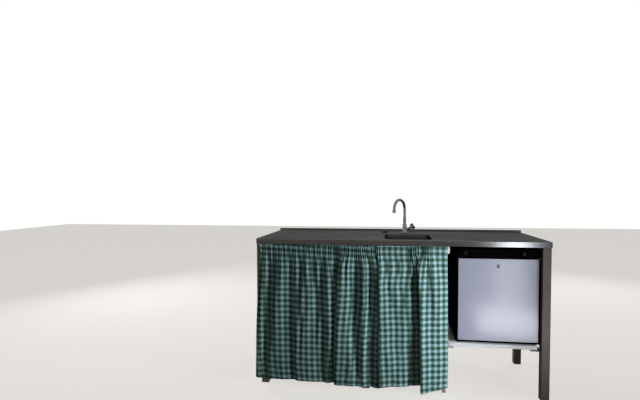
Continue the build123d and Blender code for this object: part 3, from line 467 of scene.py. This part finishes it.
finishOf = {"wall_rail": "lengthwise", "cross_rails": "crosswise", "shelf_bearers": "crosswise",
            "right_front_post": "post", "right_back_post": "post", "fridge_dial": "knob",
            "cooling_coil": "radiator", "absorber_vessel": "radiator"}

for part in frame["record"]["subparts"]:
    name = part["node"]
    own = pieceFinishes[finishOf[name]] if name in finishOf else finishes[part["material_slot"]]
    nodes[name].data.materials.clear()
    nodes[name].data.materials.append(own)
print("finishes made and put on", len(nodes), "nodes")


# Lock of the fridge door: an oval plate with a round barrel and its key slot

lock = {
    "plate": (0.0145, 0.026),       # width and height
    "plateThick": 0.0015,
    "rim": 0.0008,
    "barrelRadius": 0.0055,
    "slot": (0.0014, 0.0068, 0.0022),       # width, height and depth
    "roundSteps": 48,
    "crease": 0.7,          # an edge that turns more than this, in radians, stays sharp
}


def inFixedOrder(shape):
    # the same faces over again, sorted, because bevels and cuts leave them in an order that varies
    ordered = bmesh.new()
    spots = {vert: tuple(vert.co) for vert in shape.verts}
    points = {spot: ordered.verts.new(spot) for spot in sorted(spots.values())}
    faces = []
    for face in shape.faces:
        around = [spots[vert] for vert in face.verts]
        first = around.index(min(around))
        faces.append(around[first:] + around[:first])
    for around in sorted(faces):
        ordered.faces.new([points[spot] for spot in around])
    ordered.normal_update()
    shape.free()
    return ordered


def makeLock(l):
    low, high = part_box("door_lock")
    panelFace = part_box("fridge_door_panel")[0].y
    proud = panelFace - low.y
    shape = bmesh.new()
    for radius, thick in ((1.0, l["plateThick"]), (l["barrelRadius"], proud)):
        disc = bmesh.ops.create_circle(shape, cap_ends=True, segments=l["roundSteps"],
                                       radius=radius)["verts"]
        if radius == 1.0:
            bmesh.ops.scale(shape, verts=disc, vec=(l["plate"][0] / 2, l["plate"][1] / 2, 1))
        side = bmesh.ops.extrude_face_region(shape, geom=list(disc[0].link_faces))["geom"]
        raised = [part for part in side if isinstance(part, bmesh.types.BMVert)]
        bmesh.ops.translate(shape, verts=raised, vec=(0, 0, thick))
        cap = next(part for part in side if isinstance(part, bmesh.types.BMFace))
        bmesh.ops.bevel(shape, geom=list(cap.edges), offset=l["rim"], segments=2, profile=0.5,
                        affect="EDGES", material=-1)

    def middleFace():
        # the barrel's end, or what the cuts have left in the middle of it
        ends = [face for face in shape.faces if face.calc_center_median().z > proud - 1e-6]
        return min(ends, key=lambda face: face.calc_center_median().xy.length)

    wide, tall, deep = l["slot"]
    for across, along in ((wide, (1, 0, 0)), (tall, (0, 1, 0))):
        for way in (-1, 1):
            face = middleFace()
            bmesh.ops.bisect_plane(shape, geom=[face, *face.edges, *face.verts], dist=1e-7,
                                   plane_co=Vector(along) * (way * across / 2), plane_no=along)
    sunk = bmesh.ops.extrude_discrete_faces(shape, faces=[middleFace()])["faces"][0]
    bmesh.ops.translate(shape, verts=sunk.verts, vec=(0, 0, -deep))
    bmesh.ops.rotate(shape, verts=shape.verts, cent=(0, 0, 0),
                     matrix=Matrix.Rotation(math.pi / 2, 3, "X"))
    middle = ((low.x + high.x) / 2, panelFace, (low.z + high.z) / 2)
    bmesh.ops.translate(shape, verts=shape.verts, vec=middle)
    bmesh.ops.recalc_face_normals(shape, faces=shape.faces)
    shape = inFixedOrder(shape)
    for edge in shape.edges:
        edge.smooth = edge.calc_face_angle(0) < l["crease"]
    piece = pieceFrom("keyed_lock", shape, "door", finishes["bright_steel"])
    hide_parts("door_lock")


makeLock(lock)
print("lock made")


# Curtain: four panels of checked cotton, gathered on the wire

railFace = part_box("curtain_rail")[0].y
wireLow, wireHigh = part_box("curtain_wire")
hanging = {
    "top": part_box("curtain_rail")[1].z + 0.0012,      # just under the worktop, so the rail is covered
    "wire": (wireLow.z + wireHigh.z) / 2,
    "casing": 0.046,        # turned down behind, with the wire in it
    "hem": 0.028,           # turned up behind
    "turnGap": 0.0011,      # between the cloth and its turned edge
    "tunnel": 0.0062,       # the same, round the wire
    "tunnelHalf": 0.013,    # how far above and below the wire it is open
    "backPleats": 0.4,      # how much of the front's pleats the turned-down cloth has
    "backStands": 0.0045,   # and how far in front of the rail it hangs
    "columnStep": 0.0034,
    "rowStep": 0.0055,
    "cloth": 0.0005,
    "calmHeight": 0.12,     # below the top, over which crumples and sway come in
    "crumple": 0.0016,
    "crumplesPerMetre": (9, 5),     # across and down
    "fineCrumple": (0.6, 2.7),      # share, and how many times finer
    "sway": 0.002,
    "swaysPerMetre": (7, 3),
}
folding = {
    "samples": 700,         # points on a level's line, before they are spaced evenly
    "leastStep": 0.002,     # what a fold straight ahead counts for when they are shared out
    "ramp": 0.012,          # over which a gathered stretch begins and ends
    "pitchVaries": 0.35,
    "pitchesPerMetre": 40,
    "pleatSize": (0.7, 0.8),        # middle, and how far it varies
    "sizesPerMetre": 55,
    "largestPleat": 0.012,
    "foldSizes": (0.3, 1.3),        # smallest and largest, of the folds as they are listed
}

# Each level of a panel is its height and where the folds turn: across, and in front of the rail.
# The first two are the gathered heading, whose pleats are drawn to take up the same width of cloth.
# dense says how strongly the cloth is pleated from one place across to another. fade is how much of
# the pleats is left at the third level. cutFrom places a panel on the check, and lean is how far the
# check runs out of square as the cloth hangs. bottom gives the hem's height across.
panels = {
    "curtain_left": {
        "flatWidth": 0.537, "pleat": 0.017, "fade": 0.0016, "seed": 3,
        "cutFrom": (-0.0016, 0.0221), "lean": (-0.058, -0.054),
        "dense": [(-0.84, -0.34, 1.0)],
        "levels": [
            (0.862, [(-0.8280, 0.010), (-0.3460, 0.010)]),
            (0.826, [(-0.8280, 0.008), (-0.3460, 0.008)]),
            (0.720, [(-0.831, 0.012), (-0.796, 0.022), (-0.773, 0.006), (-0.694, 0.030),
                     (-0.648, 0.006), (-0.603, 0.020), (-0.586, 0.008), (-0.537, 0.028),
                     (-0.504, 0.008), (-0.469, 0.022), (-0.451, 0.008), (-0.409, 0.032),
                     (-0.365, 0.004), (-0.345, -0.006)]),
            (0.532, [(-0.845, 0.010), (-0.818, 0.026), (-0.785, 0.002), (-0.720, 0.032),
                     (-0.650, 0.002), (-0.606, 0.018), (-0.592, 0.014), (-0.571, 0.028),
                     (-0.541, 0.022), (-0.528, 0.026), (-0.478, 0.002), (-0.409, 0.034),
                     (-0.363, 0.000), (-0.343, -0.008)]),
            (0.341, [(-0.854, 0.008), (-0.833, 0.024), (-0.799, 0.004), (-0.729, 0.032),
                     (-0.648, 0.002), (-0.600, 0.024), (-0.573, 0.018), (-0.560, 0.026),
                     (-0.484, 0.006), (-0.468, 0.012), (-0.450, 0.006), (-0.402, 0.028),
                     (-0.372, 0.004), (-0.352, -0.008)]),
            (0.148, [(-0.858, 0.010), (-0.842, 0.022), (-0.805, 0.006), (-0.769, 0.022),
                     (-0.704, 0.020), (-0.623, 0.006), (-0.602, 0.022), (-0.531, 0.020),
                     (-0.445, 0.006), (-0.416, 0.018), (-0.381, 0.004), (-0.364, -0.008)]),
            (0.042, [(-0.858, 0.014), (-0.837, 0.020), (-0.802, 0.010), (-0.767, 0.020),
                     (-0.693, 0.018), (-0.620, 0.008), (-0.593, 0.020), (-0.532, 0.018),
                     (-0.442, 0.008), (-0.416, 0.016), (-0.387, 0.006), (-0.370, -0.006)]),
        ],
        "bottom": [(-0.86, 0.045), (-0.6, 0.04), (-0.34, 0.031)],
    },
    "curtain_mid_left": {
        "flatWidth": 0.354, "pleat": 0.012, "fade": 0.0016, "seed": 11,
        "cutFrom": (-0.0511, 0.0223), "lean": (0.034, -0.034),
        "dense": [(-0.36, -0.30, 1.8), (-0.31, -0.1, 1.0)],
        "levels": [
            (0.862, [(-0.3458, 0.010), (-0.1265, 0.010)]),
            (0.826, [(-0.3458, 0.008), (-0.1265, 0.008)]),
            (0.727, [(-0.342, 0.002), (-0.359, 0.004), (-0.360, 0.012), (-0.326, 0.034),
                     (-0.303, 0.024), (-0.291, 0.030), (-0.277, 0.018), (-0.252, 0.004),
                     (-0.191, 0.028), (-0.165, 0.004), (-0.127, 0.024), (-0.113, 0.012), (-0.096, 0.000)]),
            (0.543, [(-0.342, 0.002), (-0.359, 0.005), (-0.359, 0.020), (-0.345, 0.034),
                     (-0.312, 0.028), (-0.259, 0.004), (-0.194, 0.030), (-0.163, 0.004),
                     (-0.122, 0.026), (-0.112, 0.014), (-0.096, 0.000)]),
            (0.355, [(-0.351, 0.002), (-0.370, 0.005), (-0.370, 0.022), (-0.350, 0.036),
                     (-0.306, 0.030), (-0.252, 0.004), (-0.200, 0.030), (-0.154, 0.002),
                     (-0.113, 0.020), (-0.110, 0.016), (-0.095, 0.000)]),
            (0.168, [(-0.354, 0.002), (-0.372, 0.006), (-0.371, 0.024), (-0.356, 0.034),
                     (-0.300, 0.028), (-0.276, 0.032), (-0.237, 0.006), (-0.203, 0.028),
                     (-0.151, 0.004), (-0.112, 0.020), (-0.106, 0.016), (-0.095, 0.000)]),
            (0.051, [(-0.354, 0.004), (-0.373, 0.008), (-0.373, 0.024), (-0.354, 0.028),
                     (-0.307, 0.022), (-0.283, 0.024), (-0.233, 0.016), (-0.203, 0.020),
                     (-0.153, 0.006), (-0.123, 0.018), (-0.104, 0.016), (-0.094, 0.000)]),
        ],
        "bottom": [(-0.37, 0.03), (-0.11, 0.019)],
    },
    "curtain_mid_right": {
        "flatWidth": 0.300, "pleat": 0.013, "fade": 0.003, "seed": 19,
        "cutFrom": (0.0090, -0.0040), "lean": (0.003, 0),
        "dense": [(-0.14, -0.085, 1.0), (-0.1, 0.09, 0.12), (0.07, 0.12, 1.0)],
        "levels": [
            (0.862, [(-0.1259, 0.010), (0.1055, 0.010)]),
            (0.826, [(-0.1259, 0.008), (0.1055, 0.008)]),
            (0.732, [(-0.096, 0.008), (-0.112, 0.008), (-0.113, 0.018), (-0.107, 0.028),
                     (-0.064, 0.014), (-0.041, 0.019), (-0.003, 0.008), (0.017, 0.013), (0.054, 0.002),
                     (0.083, 0.008), (0.106, 0.003), (0.129, 0.000)]),
            (0.639, [(-0.096, 0.006), (-0.113, 0.008), (-0.114, 0.020), (-0.107, 0.032),
                     (-0.055, 0.011), (-0.038, 0.014), (0.038, 0.004), (0.052, 0.006), (0.084, -0.001),
                     (0.101, -0.005), (0.130, -0.008)]),
            (0.551, [(-0.096, 0.004), (-0.113, 0.006), (-0.114, 0.022), (-0.107, 0.036),
                     (-0.040, 0.010), (-0.008, 0.015), (0.026, 0.008), (0.052, 0.014), (0.087, 0.003),
                     (0.099, -0.005), (0.131, -0.012)]),
            (0.457, [(-0.095, 0.004), (-0.113, 0.006), (-0.114, 0.022), (-0.106, 0.036),
                     (-0.002, 0.008), (0.050, 0.011), (0.087, 0.001), (0.099, -0.008), (0.134, -0.014)]),
            (0.365, [(-0.095, 0.004), (-0.113, 0.006), (-0.113, 0.022), (-0.106, 0.036),
                     (-0.005, 0.010), (0.041, 0.011), (0.085, 0.002), (0.100, -0.008), (0.141, -0.015)]),
            (0.274, [(-0.102, 0.006), (-0.111, 0.008), (-0.112, 0.022), (-0.104, 0.035),
                     (-0.002, 0.010), (0.022, 0.009), (0.065, 0.002), (0.083, -0.004), (0.098, -0.009),
                     (0.140, -0.015)]),
            (0.180, [(-0.105, 0.008), (-0.110, 0.009), (-0.111, 0.022), (-0.103, 0.034),
                     (-0.074, 0.025), (-0.054, 0.026), (0.010, 0.010), (0.022, 0.011), (0.060, 0.003),
                     (0.081, -0.008), (0.143, -0.014)]),
            (0.065, [(-0.104, 0.008), (-0.108, 0.009), (-0.109, 0.020), (-0.101, 0.031),
                     (-0.018, 0.013), (0.005, 0.014), (0.046, 0.007), (0.063, 0.002), (0.081, -0.006),
                     (0.144, -0.012)]),
        ],
        "bottom": [(-0.11, 0.032), (0.09, 0.036)],
    },
    "curtain_right": {
        "flatWidth": 0.250, "pleat": 0.011, "fade": 0.003, "seed": 27,
        "cutFrom": (0.0049, 0.0030), "lean": (0, 0),
        "dense": [(0.09, 0.2, 1.0), (0.19, 0.3, 0.1)],
        "levels": [
            (0.862, [(0.1067, 0.010), (0.2830, 0.010)]),
            (0.826, [(0.1067, 0.008), (0.2830, 0.008)]),
            (0.737, [(0.134, 0.006), (0.112, 0.008), (0.114, 0.020), (0.133, 0.022), (0.176, 0.015),
                     (0.192, 0.021), (0.247, 0.003), (0.285, 0.002)]),
            (0.644, [(0.152, 0.002), (0.118, 0.004), (0.117, 0.016), (0.122, 0.028), (0.182, 0.014),
                     (0.199, 0.020), (0.219, 0.016), (0.287, 0.001)]),
            (0.557, [(0.164, -0.002), (0.125, 0.000), (0.123, 0.018), (0.127, 0.035), (0.188, 0.018),
                     (0.210, 0.024), (0.288, 0.001)]),
            (0.464, [(0.171, -0.002), (0.127, 0.000), (0.125, 0.018), (0.130, 0.037), (0.194, 0.017),
                     (0.217, 0.020), (0.289, 0.000)]),
            (0.341, [(0.174, -0.002), (0.129, 0.000), (0.127, 0.018), (0.131, 0.038), (0.198, 0.018),
                     (0.221, 0.017), (0.290, -0.001)]),
            (0.190, [(0.178, -0.002), (0.132, 0.000), (0.130, 0.018), (0.134, 0.038), (0.210, 0.018),
                     (0.292, -0.001)]),
            (0.065, [(0.179, 0.000), (0.135, 0.002), (0.133, 0.018), (0.137, 0.036), (0.211, 0.017),
                     (0.290, 0.000)]),
        ],
        "bottom": [(0.12, 0.009), (0.19, 0.02), (0.29, 0.037)],
    },
}


def between(points, x):
    # straight line through a few points, flat past its ends
    if x <= points[0][0]:
        return points[0][1]
    for (x0, y0), (x1, y1) in zip(points, points[1:]):
        if x <= x1:
            return y0 + (y1 - y0) * (x - x0) / (x1 - x0)
    return points[-1][1]


def foldedLine(panel, turns, pleats, folds):
    # the cloth's line at one level: rounded folds between the turns, with fine pleats on it
    least, seed = folding["leastStep"], panel["seed"]
    spread = sum(abs(b[0] - a[0]) + least for a, b in zip(turns, turns[1:]))
    middle = sum(depth for x, depth in turns) / len(turns)
    usual, varies = folding["pleatSize"]
    line, phase, lastX = [], 0.0, turns[0][0]
    for (x0, d0), (x1, d1) in zip(turns, turns[1:]):
        steps = max(3, round(folding["samples"] * (abs(x1 - x0) + least) / spread))
        for i in range(steps + (x1 == turns[-1][0])):
            x = x0 + (x1 - x0) * i / steps
            share = (1 - math.cos(math.pi * i / steps)) / 2
            depth = middle + (d0 + (d1 - d0) * share - middle) * folds
            weight = 0.0
            for low, high, amount in panel["dense"]:
                rise = (min(max((x - low) / folding["ramp"], 0), 1)
                        * min(max((high - x) / folding["ramp"], 0), 1))
                weight = max(weight, amount * rise)
            wander = noise.noise(Vector((x * folding["pitchesPerMetre"], seed, 0)))
            phase += abs(x - lastX) / (panel["pleat"] * (1 + folding["pitchVaries"] * wander))
            lastX = x
            size = usual + varies * noise.noise(Vector((x * folding["sizesPerMetre"], 7.0, seed)))
            line.append((x, depth + pleats * weight * size * (1 + math.sin(2 * math.pi * phase))))
    return line


def lineLength(line):
    return sum(math.dist(a, b) for a, b in zip(line, line[1:]))


def atShares(line, count):
    # count + 1 points evenly spaced along the line
    total, spaced, walked, i = lineLength(line), [], 0.0, 0
    step = math.dist(line[0], line[1])
    for k in range(count + 1):
        goal = total * k / count
        while i < len(line) - 2 and walked + step < goal:
            walked += step
            i += 1
            step = math.dist(line[i], line[i + 1])
        share = min(max((goal - walked) / step, 0), 1) if step > 0 else 0
        (x0, d0), (x1, d1) = line[i], line[i + 1]
        spaced.append((x0 + (x1 - x0) * share, d0 + (d1 - d0) * share))
    return spaced


def fitted(make, goal, low, high, halvings=22):
    # the line made at the size, between low and high, that gives it the goal's length
    for _ in range(halvings):
        size = (low + high) / 2
        if lineLength(make(size)) > goal:
            high = size
        else:
            low = size
    return make(size)


def levelLines(panel, columns):
    # the first two levels, the heading, take up the cloth in pleats, and the others in folds
    lines = []
    for number, (height, turns) in enumerate(panel["levels"]):
        if number < 2:
            line = fitted(lambda size: foldedLine(panel, turns, size, 1.0), panel["flatWidth"],
                          0.0, folding["largestPleat"])
        else:
            rest = panel["fade"] if number == 2 else 0.0
            line = fitted(lambda size: foldedLine(panel, turns, rest, size), panel["flatWidth"],
                          *folding["foldSizes"])
        lines.append((height, atShares(line, columns)))
    return lines


def smoothBetween(lines, height, column):
    # a smooth curve through the levels, from the heading down
    heights = [level for level, _ in lines]
    if height >= heights[0]:
        return Vector(lines[0][1][column])
    if height <= heights[-1]:
        return Vector(lines[-1][1][column])
    i = next(k for k in range(len(heights) - 1) if heights[k + 1] <= height)

    def point(k):
        return Vector(lines[k][1][column])

    def slope(k):
        a, b = max(k - 1, 0), min(k + 1, len(heights) - 1)
        return (point(b) - point(a)) / (heights[b] - heights[a])

    span = heights[i + 1] - heights[i]
    t = (height - heights[i]) / span
    h00, h10 = 2 * t ** 3 - 3 * t ** 2 + 1, t ** 3 - 2 * t ** 2 + t
    h01, h11 = -2 * t ** 3 + 3 * t ** 2, t ** 3 - t ** 2
    return (point(i) * h00 + slope(i) * (span * h10) + point(i + 1) * h01 + slope(i + 1) * (span * h11))


def casingGap(height):
    # how far the turned-down cloth is behind the front, open round the wire and closed away from it
    away = abs(height - hanging["wire"])
    opened = max(0.0, 1 - (away / hanging["tunnelHalf"]) ** 2)
    return hanging["turnGap"] + (hanging["tunnel"] - hanging["turnGap"]) * opened


def crumpled(x, height, seed):
    # how far the cloth strays to the side and forward, with none of it at the heading
    calm = min(max((hanging["top"] - height) / hanging["calmHeight"], 0), 1)
    across, down = hanging["crumplesPerMetre"]
    share, finer = hanging["fineCrumple"]
    spot = Vector((x * across, height * down, seed))
    crumple = noise.noise(spot) + share * noise.noise(spot * finer)
    across, down = hanging["swaysPerMetre"]
    sway = noise.noise(Vector((x * across, height * down, seed + 5)))
    return sway * hanging["sway"] * calm, crumple * hanging["crumple"] * calm


def makeCurtain(name, panel):
    top, casing, hem = hanging["top"], hanging["casing"], hanging["hem"]
    columns = round(panel["flatWidth"] / hanging["columnStep"])
    longest = top - min(height for _, height in panel["bottom"])
    flatLength = casing + longest + hem
    rows = round(flatLength / hanging["rowStep"])
    lines = levelLines(panel, columns)

    shape = bmesh.new()
    bmesh.ops.create_grid(shape, x_segments=columns, y_segments=rows, size=0.5)
    layer = shape.loops.layers.uv.new("cut")
    onCloth = {}        # each point's place on the flat cloth
    shape.verts.index_update()
    for vert in shape.verts:
        column = round((vert.co.x + 0.5) * columns)
        along = (0.5 - vert.co.y) * flatLength
        halfway = smoothBetween(lines, top - longest / 2, column)
        bottom = between(panel["bottom"], halfway.x)
        drop = top - bottom
        if along < casing:
            height, layerGap = top - casing + along, casingGap(top - casing + along)
            down = along
        elif along < casing + longest:
            height, layerGap = top - (along - casing) * (drop / longest), 0.0
            down = casing + top - height
        else:
            height, layerGap = bottom + (along - casing - longest), hanging["turnGap"]
            down = casing + drop + height - bottom
        across = panel["flatWidth"] * column / columns
        onCloth[vert.index] = (across + panel["cutFrom"][0] + panel["lean"][0] * down,
                               down + panel["cutFrom"][1] + panel["lean"][1] * across)
        place = smoothBetween(lines, height, column)
        if along < casing:
            forward = (place.y * hanging["backPleats"] + hanging["backStands"] - layerGap
                       + hanging["turnGap"])
        else:
            forward = place.y - layerGap
            if height > top - casing:
                forward += casingGap(height) - hanging["turnGap"]
        sideways, outwards = crumpled(place.x, height, panel["seed"])
        vert.co = (place.x + sideways, railFace - forward - outwards, height)
    for face in shape.faces:
        for loop in face.loops:
            loop[layer].uv = onCloth[loop.vert.index]
    bmesh.ops.recalc_face_normals(shape, faces=shape.faces)
    piece = pieceFrom(name.replace("curtain", "gathered_cloth"), shape, "kitchenette",
                      finishes["checked_cotton"])
    thick = piece.modifiers.new("cloth thickness", "SOLIDIFY")
    thick.thickness = hanging["cloth"]
    thick.offset = 0.0
    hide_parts(name)


for name, panel in panels.items():
    makeCurtain(name, panel)
print("curtain hung in", len(panels), "panels")
